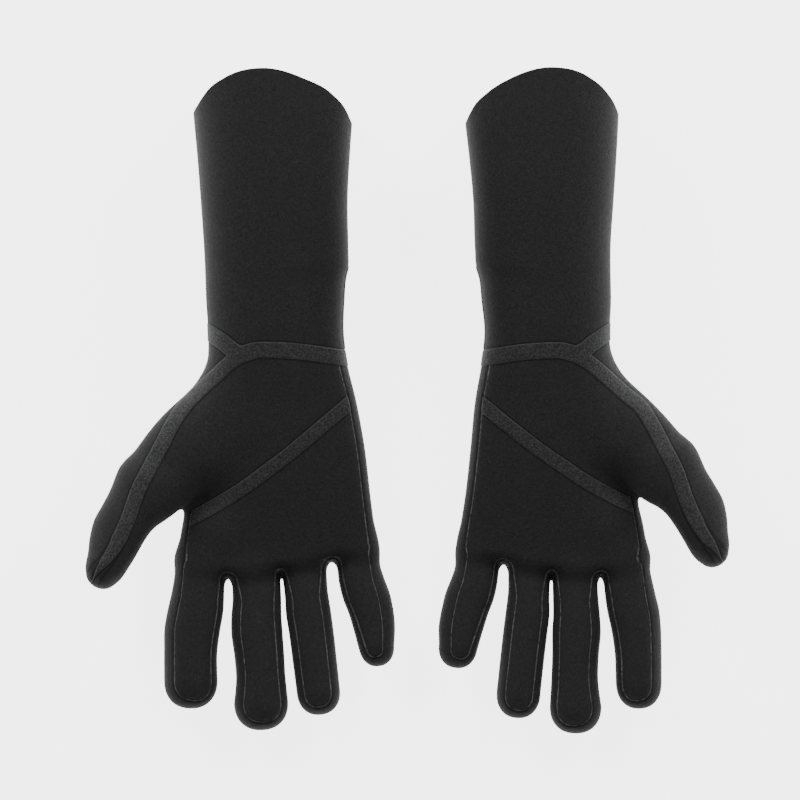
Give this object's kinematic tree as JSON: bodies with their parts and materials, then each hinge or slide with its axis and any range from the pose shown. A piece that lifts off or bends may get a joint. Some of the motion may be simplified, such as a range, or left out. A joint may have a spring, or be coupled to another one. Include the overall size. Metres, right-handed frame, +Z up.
{
  "type": "pair of cryogenic gloves",
  "caption": "Pair of long insulated gauntlet gloves lying palm up, with taped seams, separate finger panels, liners and bending digits.",
  "frame": {"origin": "on the floor under the middle of the pair's outline", "axes": "+X across the pair towards the left-hand glove, +Y towards the cuffs, +Z up, out of the palms"},
  "size_m": [0.3468, 0.3526, 0.0636],
  "materials": {
    "neoprene": "matte",
    "seam_tape": "matte",
    "liner": "matte"
  },
  "bodies": {
    "right_hand": {"right_hand_palm_panel": "neoprene", "right_hand_back_panel": "neoprene", "right_hand_side_walls": "neoprene", "right_thumb_root_panel": "neoprene", "right_hand_liner": "liner", "right_wrist_seam_tape": "seam_tape", "right_palm_seam_tape": "seam_tape"},
    "right_cuff": {"right_cuff_sleeve": "neoprene", "right_cuff_liner": "liner", "right_cuff_side_tape": "seam_tape"},
    "right_index": {"right_index_palm_panel": "neoprene", "right_index_back_panel": "neoprene", "right_index_side_strip": "neoprene", "right_index_liner": "liner"},
    "right_middle": {"right_middle_palm_panel": "neoprene", "right_middle_back_panel": "neoprene", "right_middle_side_strip": "neoprene", "right_middle_liner": "liner"},
    "right_ring": {"right_ring_palm_panel": "neoprene", "right_ring_back_panel": "neoprene", "right_ring_side_strip": "neoprene", "right_ring_liner": "liner"},
    "right_little": {"right_little_palm_panel": "neoprene", "right_little_back_panel": "neoprene", "right_little_side_strip": "neoprene", "right_little_liner": "liner"},
    "right_thumb": {"right_thumb_inner_panel": "neoprene", "right_thumb_outer_panel": "neoprene", "right_thumb_seam_tape": "seam_tape", "right_thumb_liner": "liner"},
    "left_hand": {"left_hand_palm_panel": "neoprene", "left_hand_back_panel": "neoprene", "left_hand_side_walls": "neoprene", "left_thumb_root_panel": "neoprene", "left_hand_liner": "liner", "left_wrist_seam_tape": "seam_tape", "left_palm_seam_tape": "seam_tape"},
    "left_cuff": {"left_cuff_sleeve": "neoprene", "left_cuff_liner": "liner", "left_cuff_side_tape": "seam_tape"},
    "left_index": {"left_index_palm_panel": "neoprene", "left_index_back_panel": "neoprene", "left_index_side_strip": "neoprene", "left_index_liner": "liner"},
    "left_middle": {"left_middle_palm_panel": "neoprene", "left_middle_back_panel": "neoprene", "left_middle_side_strip": "neoprene", "left_middle_liner": "liner"},
    "left_ring": {"left_ring_palm_panel": "neoprene", "left_ring_back_panel": "neoprene", "left_ring_side_strip": "neoprene", "left_ring_liner": "liner"},
    "left_little": {"left_little_palm_panel": "neoprene", "left_little_back_panel": "neoprene", "left_little_side_strip": "neoprene", "left_little_liner": "liner"},
    "left_thumb": {"left_thumb_inner_panel": "neoprene", "left_thumb_outer_panel": "neoprene", "left_thumb_seam_tape": "seam_tape", "left_thumb_liner": "liner"}
  },
  "joints": [
    {"name": "right_wrist_bend", "type": "hinge", "parent": "right_hand", "child": "right_cuff", "pos_m": [-0.0705, 0.036, 0.025], "axis": [1, 0, 0], "range_deg": [0, 40], "stiffness_Nm_per_rad": 0.15},
    {"name": "right_index_bend", "type": "hinge", "parent": "right_hand", "child": "right_index", "pos_m": [-0.1134, -0.112, 0.0135], "axis": [-0.9997, 0.0244, 0], "range_deg": [0, 75], "stiffness_Nm_per_rad": 0.01},
    {"name": "right_middle_bend", "type": "hinge", "parent": "right_hand", "child": "right_middle", "pos_m": [-0.0806, -0.114, 0.0135], "axis": [-0.9978, -0.0663, 0], "range_deg": [0, 75], "stiffness_Nm_per_rad": 0.01},
    {"name": "right_ring_bend", "type": "hinge", "parent": "right_hand", "child": "right_ring", "pos_m": [-0.0538, -0.112, 0.0135], "axis": [-0.9943, -0.1063, 0], "range_deg": [0, 75], "stiffness_Nm_per_rad": 0.01},
    {"name": "right_little_bend", "type": "hinge", "parent": "right_hand", "child": "right_little", "pos_m": [-0.0223, -0.103, 0.0135], "axis": [-0.991, -0.134, 0], "range_deg": [0, 75], "stiffness_Nm_per_rad": 0.01},
    {"name": "right_thumb_bend", "type": "hinge", "parent": "right_hand", "child": "right_thumb", "pos_m": [-0.1478, -0.0591, 0.029], "axis": [-0.8807, 0.331, -0.3387], "range_deg": [0, 50], "stiffness_Nm_per_rad": 0.01},
    {"name": "left_wrist_bend", "type": "hinge", "parent": "left_hand", "child": "left_cuff", "pos_m": [0.0738, 0.036, 0.025], "axis": [1, 0, 0], "range_deg": [0, 40], "stiffness_Nm_per_rad": 0.15},
    {"name": "left_index_bend", "type": "hinge", "parent": "left_hand", "child": "left_index", "pos_m": [0.1198, -0.112, 0.0135], "axis": [-0.9994, -0.0349, 0], "range_deg": [0, 75], "stiffness_Nm_per_rad": 0.01},
    {"name": "left_middle_bend", "type": "hinge", "parent": "left_hand", "child": "left_middle", "pos_m": [0.089, -0.114, 0.0135], "axis": [-0.9998, 0.0209, 0], "range_deg": [0, 75], "stiffness_Nm_per_rad": 0.01},
    {"name": "left_ring_bend", "type": "hinge", "parent": "left_hand", "child": "left_ring", "pos_m": [0.0635, -0.112, 0.0135], "axis": [-0.9969, 0.0785, 0], "range_deg": [0, 75], "stiffness_Nm_per_rad": 0.01},
    {"name": "left_little_bend", "type": "hinge", "parent": "left_hand", "child": "left_little", "pos_m": [0.0326, -0.103, 0.0135], "axis": [-0.989, 0.1478, 0], "range_deg": [0, 75], "stiffness_Nm_per_rad": 0.01},
    {"name": "left_thumb_bend", "type": "hinge", "parent": "left_hand", "child": "left_thumb", "pos_m": [0.1464, -0.0486, 0.029], "axis": [-0.8807, -0.331, 0.3387], "range_deg": [0, 50], "stiffness_Nm_per_rad": 0.01},
    {"name": "gloves_apart", "type": "slide", "parent": "right_hand", "child": "left_hand", "axis": [1, 0, 0], "range_m": [0, 0.1]}
  ]
}
